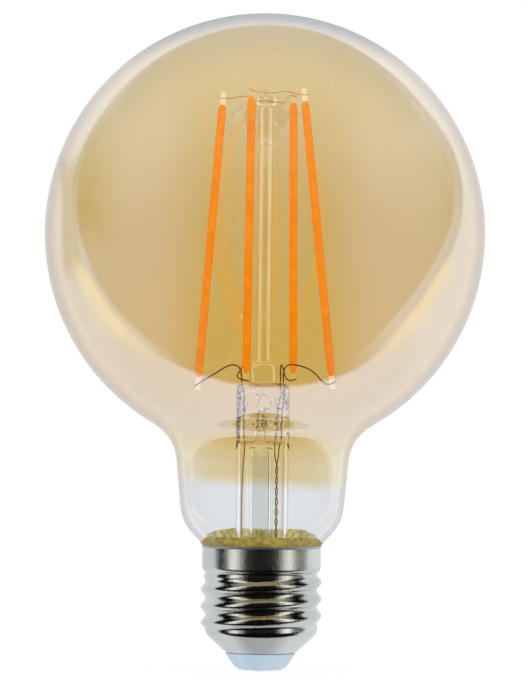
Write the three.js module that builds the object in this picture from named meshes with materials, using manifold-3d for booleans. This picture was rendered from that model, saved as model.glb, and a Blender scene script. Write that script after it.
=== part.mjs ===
// A 95 mm globe lamp: a gold-coated glass bulb on a 27 mm Edison screw cap, four LED filaments
// on a glass stem, and a radio-controlled driver hidden in the cap.
// Millimetres, +Z up. The origin is the centre of the contact's lower face, and the lamp stands cap down.
// The front is the side seen along +Y, with +X to its right.

import * as THREE from "three";
import { mergeVertices } from "three/addons/utils/BufferGeometryUtils.js";
import Module from "manifold-3d";

const wasm = await Module();
wasm.setup();

// ---------------------------------------------------------------- driving dimensions

const GAP = 0.1; // clearance that stands for a fused, soldered or cemented seam
const END_GAP = 0.3; // the same between two fused glass ends

const GLOBE = { radius: 47.5, centreZ: 94.2, wall: 0.9 };
const NECK = {
  fillet: 9.2, // concave radius between the globe and the neck
  filletRadius: 18.5, // radius of the neck where the fillet ends
  radius: 17.7, // radius of the neck where the shoulder starts
  shoulderZ: 35.8,
  shoulderArc: 9, // convex radius that closes the neck towards the cap
  collar: 11.3, // radius of the straight glass collar inside the cap
  bottomZ: 19.2,
};

const CAP = { skirt: 12.8, topZ: 26.6, wall: 0.3, mouth: 7.6, mouthZ: 3.9, coneBulge: 0.55 };
const THREAD = {
  pitch: 3.629,
  crest: 13.05,
  root: 12.05,
  crestZ: 15.5, // height of one crest on the right-hand side
  startZ: 8.6, // where the thread grows out of the cone
  growth: 1.6,
  skirtZ: 21, // where the thread dies out and the plain skirt begins
  blend: 1.4,
};
const INSULATOR = {
  bottomZ: 0.5,
  base: 4.8, // radius of the flat underside that the contact's head covers
  bulge: [6.1, 1.3], // where the rounded side swings out to, as radius and height
  lip: 7.5, // the rim just below the cap's mouth
  lipZ: 3.75,
  groove: 7.1, // the cap's mouth is rolled into this
  grooveHeight: 0.75,
  flange: 8.2, // the part inside the cap
  flangeZ: 5,
  topZ: 6.2,
  cup: 5.3, // radius of the hollow that opens upwards
  cupFloorZ: 3.3,
};
const CONTACT = { head: 4.8, headHeight: 0.4, shank: 0.9, shankTopZ: 4.6 };
const CEMENT = { bottomZ: 22.8, bead: 12.95, beadZ: 27.05 };
const CEMENT_GAP = GAP * 1.2; // between the cement and the walls it fills

const FLARE = { radius: 5.75, wall: 0.9, rim: 10.1, rimZ: 19.6, tubeZ: 27.6 };
const PINCH = { bottomZ: 50.3, topZ: 62, width: 12, depth: 5.8, squeezeZ: 45.5 };
const EXHAUST = { x: -0.4, radius: 2.5, wall: 0.8, tipZ: 14, topZ: 53.7 };
const BLOW_HOLE = { radius: 1.4, z: 57.9 };
const COLUMN = {
  radius: 1.55,
  bore: 0.7,
  foot: 3, // radius of the thick foot that stands on the pinch
  footHeight: 4,
  footRound: 0.9,
  throat: 0.4, // height over which the foot narrows to the column
  topZ: 121.4,
};
const BEAD = { radius: 2.35, bottomZ: 121.7, topZ: 123.7, nipple: 0.9, nippleZ: 125.4 };

const WIRE = 0.2; // radius of the nickel wires
const SEAL_WIRE = 0.17; // radius of the copper-clad wires inside the pinch
const INSULATED = 0.35; // radius of an insulated wire

const FILAMENT = { length: 59.3, radius: 0.88, slotWidth: 1.35, slotDepth: 0.5 };
const TAB = { width: 1.15, depth: 0.25, outside: 2.8, inside: 1.3 };
const WELD_REACH = 0.75; // how far a wire reaches past a tab's middle, in tab widths
const SUBSTRATE = { width: 0.8, depth: 0.3 };

// The lower end of each filament's yellow body, and where its upper end stands in plan.
const FILAMENTS = [
  { name: "filament_left", foot: [-14.1, 4.5, 63], head: [-9.5, 3.2] },
  { name: "filament_front", foot: [-3.65, -15, 64.2], head: [-3.15, -9.5] },
  { name: "filament_back", foot: [6.5, 14, 64], head: [5.9, 8] },
  { name: "filament_right", foot: [14.6, -4.4, 63.7], head: [8.3, -4] },
];

// Each lead-in crosses the pinch from a point on its underside to a point on its top.
const LEAD_INS = {
  left_outer: { below: [-4.6, 0.3], above: [-4.7, 0.6] },
  left_inner: { below: [-3.85, -0.4], above: [-4, -0.6] },
  right_inner: { below: [2.6, 0.4], above: [3.7, 0.6] },
  right_outer: { below: [3.75, -0.4], above: [4.35, -0.6] },
};

const TWIST = { x: 3.1, radius: 0.3, pitch: 4.6, topZ: 45.6, turns: 5.5, pointsPerTurn: 4 };

// The driver's round board lies across the cap, with its parts standing on it.
const BOARD = { radius: 10.5, bottomZ: 8.5, thickness: 1 };
const BOARD_TOP = BOARD.bottomZ + BOARD.thickness + GAP;
const CAPACITOR = { x: -6.6, y: 3.2, radius: 2.5, height: 7, crimp: 0.2, bevel: 0.3 };
const INDUCTOR = { x: 6.2, y: 3.4, flange: 3, waist: 1.6, coil: 2.75, height: 5, flangeHeight: 0.8 };
const RESISTOR = { x: 6.6, y: -4.2, radius: 1.1, height: 5.6, standOff: 0.6, capHeight: 1.6, leg: 0.3 };
const RECTIFIER = { x: 4.6, y: -1.6, width: 4.4, depth: 3.6, height: 1.5 };
const CONTROLLER = { x: -0.5, y: -6.8, width: 5, depth: 3.9, height: 1.5 };

// The radio stands on edge at the back of the board. Its can and antenna face the middle.
const RADIO = { y: 7.6, width: 9, depth: 0.8, height: 8 };
const SHIELD = { x: -1.2, y: 6.5, width: 6, depth: 1.2, height: 5.4, lift: 0.6 };
const ANTENNA = { x: 2.3, y: 6.6, width: 3.2, depth: 1, height: 1.1, lift: 6.4 };

// ---------------------------------------------------------------- materials

const material = (color, roughness, metalness, opacity = 1) =>
  new THREE.MeshStandardMaterial({ color, roughness, metalness, opacity, transparent: opacity < 1 });

const MATERIALS = {
  amberGlass: material(0xd8bb80, 0.02, 0, 0.4),
  clearGlass: material(0xe8eef0, 0.02, 0, 0.35),
  nickel: material(0xc9c8c0, 0.22, 1),
  wire: material(0x6e675c, 0.35, 1),
  copperClad: material(0x9a5a3c, 0.4, 1),
  phosphor: material(0xff8a1c, 0.55, 0),
  tab: material(0xe6dfc8, 0.3, 1),
  substrate: material(0xefe9dc, 0.5, 0),
  insulator: material(0xb4c8da, 0.45, 0),
  contact: material(0xb9bcc0, 0.3, 1),
  cement: material(0x8c7a2a, 0.8, 0),
  board: material(0x1f6b3a, 0.5, 0),
  radioBoard: material(0x14324f, 0.5, 0),
  blackPlastic: material(0x1b1b1d, 0.5, 0),
  ferrite: material(0x3a3a3c, 0.7, 0),
  copper: material(0xb8683c, 0.35, 1),
  can: material(0xc8ccd0, 0.3, 1),
  ceramic: material(0xd8d2c4, 0.6, 0),
  sleeve: material(0x2c4a78, 0.5, 0),
  redInsulation: material(0xb4281e, 0.5, 0),
  whiteInsulation: material(0xe8e6e0, 0.5, 0),
};

// ---------------------------------------------------------------- geometry helpers

const at = (radius, z) => new THREE.Vector2(radius, z);

// Points on an arc in the radius-height plane. Angles are in degrees, from outwards towards +Z.
function arc(centreRadius, centreZ, radius, from, to, steps) {
  return Array.from({ length: steps + 1 }, (_, i) => {
    const angle = THREE.MathUtils.degToRad(from + ((to - from) * i) / steps);
    return at(centreRadius + radius * Math.cos(angle), centreZ + radius * Math.sin(angle));
  });
}

// A solid of revolution about Z. The profile goes up its outside and down its inside.
function revolve(profile, segments) {
  return new THREE.LatheGeometry(profile, segments).rotateX(Math.PI / 2);
}

// The closed profile of a wall whose outside is the given outline, listed upwards.
function wallOf(outline, thickness) {
  const last = outline.length - 1;
  const inside = outline.map((p, i) => {
    const arriving = p.clone().sub(outline[Math.max(i - 1, 0)]).normalize();
    const leaving = outline[Math.min(i + 1, last)].clone().sub(p).normalize();
    const along = arriving.add(leaving); // one direction at an end, and the sum of two at a corner
    const mitre = i === 0 || i === last ? thickness : (thickness * 2) / along.lengthSq();
    return at(p.x - along.y * mitre, p.y + along.x * mitre);
  });
  return [...outline, ...inside.reverse(), outline[0].clone()];
}

function rod(radius, bottom, top, sides = 16) {
  return new THREE.CylinderGeometry(radius, radius, top - bottom, sides)
    .rotateX(Math.PI / 2)
    .translate(0, 0, (top + bottom) / 2);
}

// A box that stands on the given height.
function block({ width, depth, height, x = 0, y = 0 }, bottom) {
  return new THREE.BoxGeometry(width, depth, height).translate(x, y, bottom + height / 2);
}

// A round wire through the given points.
function wire(points, radius, steps, sides = 6) {
  const path = new THREE.CatmullRomCurve3(points.map((p) => new THREE.Vector3(...p)));
  const section = new THREE.Shape().absarc(0, 0, radius, 0, Math.PI * 2);
  return new THREE.ExtrudeGeometry(section, { steps, curveSegments: sides / 2, extrudePath: path });
}

function toSolid(geometry) {
  const bare = geometry.clone();
  bare.deleteAttribute("normal");
  bare.deleteAttribute("uv");
  const merged = mergeVertices(bare, 1e-4);
  const triangles = [];
  for (let i = 0; i < merged.index.count; i += 3) {
    const [a, b, c] = [0, 1, 2].map((k) => merged.index.getX(i + k));
    if (a !== b && b !== c && c !== a) triangles.push(a, b, c);
  }
  const vertProperties = new Float32Array(merged.attributes.position.array);
  const triVerts = new Uint32Array(triangles);
  return new wasm.Manifold(new wasm.Mesh({ numProp: 3, vertProperties, triVerts }));
}

function toGeometry(solid) {
  const mesh = solid.getMesh();
  return new THREE.BufferGeometry()
    .setAttribute("position", new THREE.BufferAttribute(new Float32Array(mesh.vertProperties), 3))
    .setIndex(new THREE.BufferAttribute(new Uint32Array(mesh.triVerts), 1));
}

function join(first, ...others) {
  return toGeometry(others.map(toSolid).reduce((whole, piece) => whole.add(piece), toSolid(first)));
}

function cut(geometry, ...tools) {
  return toGeometry(tools.map(toSolid).reduce((whole, tool) => whole.subtract(tool), toSolid(geometry)));
}

// Moves every vertex of a geometry by a function of its position.
function reshape(geometry, move) {
  const positions = geometry.attributes.position;
  const vertex = new THREE.Vector3();
  for (let i = 0; i < positions.count; i += 1) {
    move(vertex.fromBufferAttribute(positions, i));
    positions.setXYZ(i, vertex.x, vertex.y, vertex.z);
  }
  return geometry;
}

function named(name, geometry, meshMaterial) {
  const mesh = new THREE.Mesh(geometry, meshMaterial);
  mesh.name = name;
  return mesh;
}

// ---------------------------------------------------------------- the blown glass

// The fillet's centre, and the direction in degrees in which it touches the globe.
function filletSpot() {
  const radius = NECK.filletRadius + NECK.fillet;
  const drop = Math.sqrt((GLOBE.radius + NECK.fillet) ** 2 - radius ** 2);
  return { radius, z: GLOBE.centreZ - drop, angle: THREE.MathUtils.radToDeg(Math.atan2(drop, radius)) };
}

function shoulderArc(depth, steps) {
  return arc(NECK.radius - NECK.shoulderArc, NECK.shoulderZ, NECK.shoulderArc - depth, -45, 0, steps);
}

// The glass surface a given depth below the outside, from the collar's lower edge up to the crown.
function glassSurface(depth, globeSteps, arcSteps) {
  const fillet = filletSpot();
  const shoulder = shoulderArc(depth, arcSteps);
  const collar = NECK.collar - depth;
  return [
    at(collar, NECK.bottomZ),
    at(collar, shoulder[0].y - (shoulder[0].x - collar)),
    ...shoulder,
    ...arc(fillet.radius, fillet.z, NECK.fillet + depth, 180, 180 - fillet.angle, arcSteps),
    ...arc(0, GLOBE.centreZ, GLOBE.radius - depth, -fillet.angle, 90, globeSteps).slice(1, -1),
    at(0, GLOBE.centreZ + GLOBE.radius - depth),
  ];
}

function glassEnvelope() {
  const outside = glassSurface(0, 15, 3);
  const inside = glassSurface(GLOBE.wall, 12, 3).reverse();
  return revolve([...inside, ...outside], 40);
}

// ---------------------------------------------------------------- the glass stem

// How far the flare tube is squeezed flat at a height: 0 is round and 1 is the pinch's own section.
const squeeze = (z) => THREE.MathUtils.smoothstep(z, PINCH.squeezeZ, PINCH.bottomZ);

function flareTube() {
  const { radius, rim, rimZ, tubeZ } = FLARE;
  const horn = new THREE.EllipseCurve(rim, tubeZ, rim - radius, tubeZ - rimZ, Math.PI * 1.5, Math.PI, true);
  const squeezeSteps = 4;
  const rise = (PINCH.bottomZ - PINCH.squeezeZ) / squeezeSteps;
  const heights = Array.from({ length: squeezeSteps + 2 }, (_, i) => PINCH.squeezeZ + rise * i);
  const squeezed = heights.map((z) => at(radius, z));
  const tube = revolve(wallOf([...horn.getPoints(5), ...squeezed], FLARE.wall), 24);
  const widen = PINCH.width / 2 / radius - 1;
  const flatten = PINCH.depth / 2 / radius - 1;
  return reshape(tube, (vertex) => {
    const amount = squeeze(vertex.z);
    vertex.x *= 1 + widen * amount;
    vertex.y *= 1 + flatten * amount;
  });
}

// The solid pinch: a flat bar with round sides.
function pinchBar() {
  const round = PINCH.depth / 2;
  const half = PINCH.width / 2 - round;
  const outline = new THREE.Shape()
    .absarc(half, 0, round, -Math.PI / 2, Math.PI / 2)
    .absarc(-half, 0, round, Math.PI / 2, Math.PI * 1.5);
  const depth = PINCH.topZ - PINCH.bottomZ;
  return new THREE.ExtrudeGeometry(outline, { depth, curveSegments: 4, bevelEnabled: false })
    .translate(0, 0, PINCH.bottomZ);
}

const belowPinch = ([x, y], z = PINCH.bottomZ) => [x, y, z];
const abovePinch = ([x, y], z = PINCH.topZ) => [x, y, z];

// A straight line through the pinch for one lead-in, reaching past both faces by a margin.
function acrossPinch({ below, above }, margin) {
  const start = new THREE.Vector3(...belowPinch(below));
  const end = new THREE.Vector3(...abovePinch(above));
  const line = new THREE.Line3(start, end);
  const past = margin / (PINCH.topZ - PINCH.bottomZ);
  return [-past, 0.5, 1 + past].map((t) => line.at(t, new THREE.Vector3()).toArray());
}

// The flare tube and the pinch are one piece of glass, with a socket for the exhaust tube, the blow
// hole that the tube opens through, and a passage for each lead-in.
function stemFlare() {
  const { x, radius, wall, topZ } = EXHAUST;
  const socket = rod(radius + GAP, PINCH.squeezeZ - 1, topZ + GAP, 24).translate(x, 0, 0);
  const vent = rod(radius - wall, topZ, BLOW_HOLE.z, 12).translate(x, 0, 0);
  const hole = rod(BLOW_HOLE.radius, 0, PINCH.depth, 12).rotateX(Math.PI / 2).translate(x, 0, BLOW_HOLE.z);
  const passages = Object.values(LEAD_INS).map((lead) => wire(acrossPinch(lead, 0.5), WIRE + GAP, 2));
  return cut(join(flareTube(), pinchBar()), socket, vent, hole, ...passages);
}

function exhaustTube() {
  const { radius, wall, tipZ, topZ } = EXHAUST;
  const tip = arc(0, tipZ + radius, radius, -90, 0, 4).slice(1);
  return revolve([
    at(0, tipZ),
    ...tip,
    at(radius, topZ),
    at(radius - wall, topZ),
    at(radius - wall, tipZ + radius),
    at(0, tipZ + radius - wall),
  ], 20).translate(EXHAUST.x, 0, 0);
}

function supportColumn() {
  const { radius, bore, foot, footHeight, footRound, throat, topZ } = COLUMN;
  const bottom = PINCH.topZ + END_GAP;
  const neckZ = bottom + footHeight;
  return revolve([
    at(0, bottom),
    at(foot, bottom),
    ...arc(foot - footRound, neckZ - footRound, footRound, 0, 90, 3),
    at(radius, neckZ + throat),
    at(radius, topZ),
    at(bore, topZ),
    at(bore, neckZ + throat),
    at(0, neckZ),
  ], 20);
}

// ---------------------------------------------------------------- filaments

function phosphorBody() {
  const { length, radius, slotWidth, slotDepth } = FILAMENT;
  const section = new THREE.Shape().absarc(0, 0, radius, 0, Math.PI * 2);
  const [x, y] = [slotWidth / 2, slotDepth / 2];
  section.holes.push(new THREE.Path([at(-x, -y), at(-x, y), at(x, y), at(x, -y)]));
  return new THREE.ExtrudeGeometry(section, { depth: length, curveSegments: 6, bevelEnabled: false });
}

// The filament's upper end, found from its foot, its length and where its head stands in plan.
function filamentHead({ foot, head }) {
  const spread = Math.hypot(head[0] - foot[0], head[1] - foot[1]);
  return new THREE.Vector3(head[0], head[1], foot[2] + Math.sqrt(FILAMENT.length ** 2 - spread ** 2));
}

// A point on the filament's own axis. Lengths below 0 or above its length lie on its metal tabs.
function alongFilament(filament, length) {
  const foot = new THREE.Vector3(...filament.foot);
  return foot.lerp(filamentHead(filament), length / FILAMENT.length);
}

// Four pieces placed together: the body, the strip that carries the chips, and a metal tab at each end.
function filamentAssembly(filament) {
  const tab = { ...TAB, height: TAB.outside + TAB.inside };
  const stripFoot = TAB.inside + END_GAP;
  const strip = { ...SUBSTRATE, height: FILAMENT.length - 2 * stripFoot };
  const group = new THREE.Group().add(
    named(`${filament.name}_body`, phosphorBody(), MATERIALS.phosphor),
    named(`${filament.name}_strip`, block(strip, stripFoot), MATERIALS.substrate),
    named(`${filament.name}_lower_tab`, block(tab, -TAB.outside), MATERIALS.tab),
    named(`${filament.name}_upper_tab`, block(tab, FILAMENT.length - TAB.inside), MATERIALS.tab),
  );
  group.position.set(...filament.foot);
  const direction = filamentHead(filament).sub(group.position).normalize();
  group.quaternion.setFromUnitVectors(new THREE.Vector3(0, 0, 1), direction);
  return group;
}

// The point in front of a tab where a wire is welded to it, at a length along the filament.
function weldPoint(filament, length) {
  const spot = alongFilament(filament, length);
  return spot.add(new THREE.Vector3(0, -(TAB.depth / 2 + WIRE + GAP), 0));
}

// A wire's last two points: across the tab, from a side (-1 is left, 1 is right) to just past it.
function acrossTab(filament, length, side, rise) {
  const weld = weldPoint(filament, length);
  const reach = TAB.width * WELD_REACH;
  const near = weld.clone().add(new THREE.Vector3(side * reach, 0, side * rise));
  const far = weld.clone().add(new THREE.Vector3(-side * reach, 0, -side * rise));
  return [near.toArray(), far.toArray()];
}

const [FILAMENT_LEFT, FILAMENT_FRONT, FILAMENT_BACK, FILAMENT_RIGHT] = FILAMENTS;
const LOWER_WELD = -1.5;
const UPPER_WELD = FILAMENT.length + 1.4;

// ---------------------------------------------------------------- top wires and their bead

const BEAD_WIRE_Z = 122.75; // the lower wire crosses the bead here
const NIPPLE_WIRE_Z = 124.6; // the upper wire crosses the bead's nipple here

function lowerAnchorPath() {
  return [
    ...acrossTab(FILAMENT_LEFT, UPPER_WELD, -1, -0.1),
    [-4.4, 1, 123.9],
    [-2.6, 0.1, BEAD_WIRE_Z + 0.2],
    [0, 0, BEAD_WIRE_Z],
    [2.6, 0.3, BEAD_WIRE_Z - 0.1],
    [4.3, 4.5, 123],
    ...acrossTab(FILAMENT_BACK, UPPER_WELD, -1, -0.2),
  ];
}

function upperAnchorPath() {
  return [
    ...acrossTab(FILAMENT_FRONT, UPPER_WELD, -1, -0.3),
    [-1.9, -5, 124.7],
    [-1, -0.9, NIPPLE_WIRE_Z],
    [0, 0, NIPPLE_WIRE_Z],
    [1.2, 0, NIPPLE_WIRE_Z],
    [4.5, -2, 124.9],
    ...acrossTab(FILAMENT_RIGHT, UPPER_WELD, -1, 0.05),
  ];
}

const ANCHOR_STEPS = 18;

function columnBead() {
  const { radius, bottomZ, topZ, nipple, nippleZ } = BEAD;
  const round = (topZ - bottomZ) / 2;
  const body = revolve([
    at(0, bottomZ),
    ...arc(radius - round, bottomZ + round, round, -90, 90, 6),
    at(nipple, topZ + 0.3),
    ...arc(0, nippleZ - nipple, nipple, 0, 90, 3).slice(0, -1),
    at(0, nippleZ),
  ], 20);
  const paths = [lowerAnchorPath(), upperAnchorPath()];
  const passages = paths.map((path) => wire(path, WIRE + GAP, ANCHOR_STEPS));
  return cut(body, ...passages);
}

// ---------------------------------------------------------------- leads above and below the pinch

const lead = (points, steps) => wire(points, WIRE, steps);

function innerLeads() {
  const { left_outer, left_inner, right_inner, right_outer } = LEAD_INS;
  const start = PINCH.topZ + GAP;
  return {
    inner_lead_left: lead([
      abovePinch(left_outer.above, start),
      [-4.85, 0.7, 64.4],
      [-5.5, 1.1, 65.6],
      [-7.4, 2, 65.7],
      [-10.1, 3.1, 64.1],
      ...acrossTab(FILAMENT_LEFT, LOWER_WELD, 1, 0.6),
    ], 14),
    inner_lead_front: lead([
      abovePinch(left_inner.above, start),
      [-4, -0.8, 64.2],
      [-4.2, -3, 65.8],
      [-4.8, -8.5, 65],
      [-5.6, -13.5, 63.4],
      ...acrossTab(FILAMENT_FRONT, LOWER_WELD, -1, -0.2),
    ], 14),
    inner_lead_back: lead([
      abovePinch(right_inner.above, start),
      [3.65, 0.8, 64.4],
      [3.8, 3, 65.9],
      [4.3, 8.5, 65],
      [4.8, 12.3, 63.2],
      ...acrossTab(FILAMENT_BACK, LOWER_WELD, -1, 0.3),
    ], 14),
    inner_lead_right: lead([
      abovePinch(right_outer.above, start),
      [4.3, -0.8, 64.6],
      [5, -1.2, 65.9],
      [6.9, -2, 66],
      [10.2, -3.3, 64.9],
      ...acrossTab(FILAMENT_RIGHT, LOWER_WELD, -1, 0.5),
    ], 14),
  };
}

const OUTER_TOP = PINCH.bottomZ - GAP;
const BOARD_END = BOARD_TOP + GAP;

// One of the two twisted wires. Its starting angle is 0 or half a turn.
function twistedLead(start, angle) {
  const count = TWIST.turns * TWIST.pointsPerTurn;
  const coil = Array.from({ length: count + 1 }, (_, i) => {
    const turn = angle + (i / TWIST.pointsPerTurn) * Math.PI * 2;
    const z = TWIST.topZ - (i / TWIST.pointsPerTurn) * TWIST.pitch;
    return [TWIST.x + TWIST.radius * Math.cos(turn), TWIST.radius * Math.sin(turn), z];
  });
  const [x, y] = coil[count];
  const points = [belowPinch(start, OUTER_TOP), ...coil, [x, y, 15], [x, y, BOARD_END]];
  return wire(points, WIRE, Math.round(count * 1.6));
}

function outerLeads() {
  const { left_outer, left_inner, right_inner, right_outer } = LEAD_INS;
  return {
    outer_lead_left: lead([
      belowPinch(left_inner.below, OUTER_TOP),
      [-4.08, -0.4, 45.2],
      [-4.4, -0.3, 38.2],
      [-4.4, -0.3, 31.3],
      [-4.2, -0.4, 20],
      [-4.4, -0.6, BOARD_END],
    ], 14),
    outer_lead_stub: lead([
      belowPinch(left_outer.below, OUTER_TOP),
      [-4.55, 0.25, 49.5],
      [-4.5, 0.2, 48.9],
    ], 3),
    outer_lead_twisted_a: twistedLead(right_inner.below, Math.PI),
    outer_lead_twisted_b: twistedLead(right_outer.below, 0),
  };
}

function sealWires() {
  const entries = Object.entries(LEAD_INS);
  return Object.fromEntries(
    entries.map(([side, ends]) => [`seal_wire_${side}`, wire(acrossPinch(ends, 0), SEAL_WIRE, 2)]),
  );
}

// ---------------------------------------------------------------- the screw cap

// The sheet metal at one height and direction: a plain tube, plus the thread pressed into it.
function threadRadius(radius, angle, z) {
  const { pitch, crest, root, crestZ, startZ, growth, skirtZ, blend } = THREAD;
  const strength = THREE.MathUtils.smoothstep(z, startZ - 0.4, startZ + growth)
    * (1 - THREE.MathUtils.smoothstep(z, skirtZ - blend, skirtZ));
  const phase = ((z - crestZ) / pitch) * Math.PI * 2 - angle;
  return radius + ((crest - root) / 2) * (1 + Math.cos(phase)) * strength;
}

function capShell() {
  const { skirt, topZ, wall, mouth, mouthZ, coneBulge } = CAP;
  const { root, startZ, skirtZ } = THREAD;
  const middle = at((mouth + root) / 2 + coneBulge, (mouthZ + startZ) / 2 - coneBulge);
  const cone = new THREE.QuadraticBezierCurve(at(mouth, mouthZ), middle, at(root, startZ)).getPoints(5);
  const rows = 18;
  const rise = (skirtZ - startZ) / rows;
  const threaded = Array.from({ length: rows }, (_, i) => at(root, startZ + rise * (i + 1)));
  const plain = [at(root + (skirt - root) * 0.75, skirtZ + 0.5), at(skirt, skirtZ + 1), at(skirt, topZ)];
  const shell = revolve(wallOf([...cone, ...threaded, ...plain], wall), 32);
  return reshape(shell, (vertex) => {
    const radius = Math.hypot(vertex.x, vertex.y);
    const scale = threadRadius(radius, Math.atan2(vertex.y, vertex.x), vertex.z) / radius;
    vertex.x *= scale;
    vertex.y *= scale;
  });
}

// The insulator is a cup. The cap's mouth is rolled into the groove between its lip and its flange.
function insulator() {
  const { bottomZ, base, bulge, lip, lipZ, groove, grooveHeight } = INSULATOR;
  const { flange, flangeZ, topZ, cup, cupFloorZ } = INSULATOR;
  const hole = CONTACT.shank + GAP * 1.5;
  const side = new THREE.QuadraticBezierCurve(at(base + 0.3, bottomZ), at(...bulge), at(lip, lipZ - 0.25));
  return revolve([
    at(hole, bottomZ),
    ...side.getPoints(4),
    at(lip - 0.15, lipZ),
    at(groove, lipZ + 0.1),
    at(groove, lipZ + 0.1 + grooveHeight),
    at(flange, flangeZ),
    at(flange, topZ),
    at(cup, topZ),
    at(cup, cupFloorZ),
    at(hole, cupFloorZ),
    at(hole, bottomZ),
  ], 28);
}

// A nail: its flat head is the contact, and its shank holds the live wire.
function centreContact() {
  const { head, headHeight, shank, shankTopZ } = CONTACT;
  return revolve([
    at(0, 0),
    at(head - 0.15, 0),
    at(head, 0.12),
    at(head, headHeight),
    at(shank, headHeight),
    at(shank, shankTopZ),
    at(0, shankTopZ),
  ], 24);
}

// The ring of cement between the glass collar and the cap, ending in a bead that stands on the cap's rim.
function cappingCement() {
  const { bottomZ, bead, beadZ } = CEMENT;
  const inner = NECK.collar + CEMENT_GAP;
  const outer = CAP.skirt - CAP.wall - CEMENT_GAP;
  const shoulder = shoulderArc(0, 1)[0];
  const slopeHeight = (radius) => shoulder.y - (shoulder.x - radius) - GAP * 2;
  const rimZ = CAP.topZ + GAP;
  return revolve([
    at(inner, bottomZ),
    at(outer, bottomZ),
    at(outer, rimZ),
    at(bead - 0.1, rimZ),
    at(bead, beadZ - 0.15),
    at(bead - 0.1, slopeHeight(bead - 0.1)),
    at(inner, slopeHeight(inner)),
    at(inner, bottomZ),
  ], 32);
}

// ---------------------------------------------------------------- the driver in the cap

function driverBoard() {
  return rod(BOARD.radius, BOARD.bottomZ, BOARD.bottomZ + BOARD.thickness, 32);
}

function smoothingCapacitor() {
  const { x, y, radius, height, crimp, bevel } = CAPACITOR;
  const z = BOARD_TOP;
  return revolve([
    at(0, z),
    at(radius, z),
    at(radius, z + 1),
    at(radius - crimp, z + 1 + bevel),
    at(radius, z + 1 + bevel * 2),
    at(radius, z + height - bevel),
    at(radius - bevel, z + height),
    at(0, z + height),
  ], 20).translate(x, y, 0);
}

function inductorCore() {
  const { x, y, flange, waist, height, flangeHeight } = INDUCTOR;
  const z = BOARD_TOP;
  return revolve([
    at(0, z),
    at(flange, z),
    at(flange, z + flangeHeight),
    at(waist, z + flangeHeight),
    at(waist, z + height - flangeHeight),
    at(flange, z + height - flangeHeight),
    at(flange, z + height),
    at(0, z + height),
  ], 20).translate(x, y, 0);
}

function inductorCoil() {
  const { x, y, waist, coil, height, flangeHeight } = INDUCTOR;
  const bottom = BOARD_TOP + flangeHeight + GAP;
  const top = BOARD_TOP + height - flangeHeight - GAP;
  const inner = waist + GAP;
  const section = [at(inner, bottom), at(coil, bottom), at(coil, top), at(inner, top), at(inner, bottom)];
  return revolve(section, 20).translate(x, y, 0);
}

// A resistor that stands on end, with its upper leg bent over and down to the board.
function fusibleResistor() {
  const { x, y, radius, height, standOff, capHeight, leg } = RESISTOR;
  const bottom = BOARD_TOP + standOff;
  const top = bottom + height;
  const [end, waist] = [radius * 0.6, radius * 0.85];
  const body = revolve([
    at(0, bottom),
    at(end, bottom),
    at(radius, bottom + 0.5),
    at(waist, bottom + capHeight),
    at(waist, top - capHeight),
    at(radius, top - 0.5),
    at(end, top),
    at(0, top),
  ], 16).translate(x, y, 0);
  const legs = [
    [x, y, BOARD_TOP],
    [x, y, top - 1],
    [x, y, top + 0.6],
    [x + 0.9, y - 0.6, top + 1.1],
    [x + 1.8, y - 1.2, top + 0.4],
    [x + 1.8, y - 1.2, BOARD_TOP + 2],
    [x + 1.8, y - 1.2, BOARD_TOP],
  ];
  return join(body, wire(legs, leg, 16));
}

function driverParts() {
  const underBoard = BOARD.bottomZ - GAP;
  return [
    named("driver_board", driverBoard(), MATERIALS.board),
    named("smoothing_capacitor", smoothingCapacitor(), MATERIALS.sleeve),
    named("inductor_core", inductorCore(), MATERIALS.ferrite),
    named("inductor_coil", inductorCoil(), MATERIALS.copper),
    named("bridge_rectifier", block(RECTIFIER, underBoard - RECTIFIER.height), MATERIALS.blackPlastic),
    named("controller_chip", block(CONTROLLER, BOARD_TOP), MATERIALS.blackPlastic),
    named("fusible_resistor", fusibleResistor(), MATERIALS.ceramic),
    named("radio_board", block(RADIO, BOARD_TOP), MATERIALS.radioBoard),
    named("radio_shield", block(SHIELD, BOARD_TOP + SHIELD.lift), MATERIALS.can),
    named("radio_antenna", block(ANTENNA, BOARD_TOP + ANTENNA.lift), MATERIALS.ceramic),
    named("neutral_wire", wire([
      [-8.4, -3.4, BOARD_END],
      [-8.5, -3.45, 11.6],
      [-9.9, -4, 13.4],
      [-10.4, -4.2, 15.4],
    ], INSULATED, 10), MATERIALS.whiteInsulation),
    named("live_wire", wire([
      [0, 0, CONTACT.shankTopZ + GAP],
      [0, 0.1, 5.6],
      [-1.6, 1.2, 6.8],
      [-2, 1.5, underBoard],
    ], INSULATED, 10), MATERIALS.redInsulation),
  ];
}

// ---------------------------------------------------------------- the lamp

const namedAll = (geometries, meshMaterial) =>
  Object.entries(geometries).map(([name, geometry]) => named(name, geometry, meshMaterial));

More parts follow.
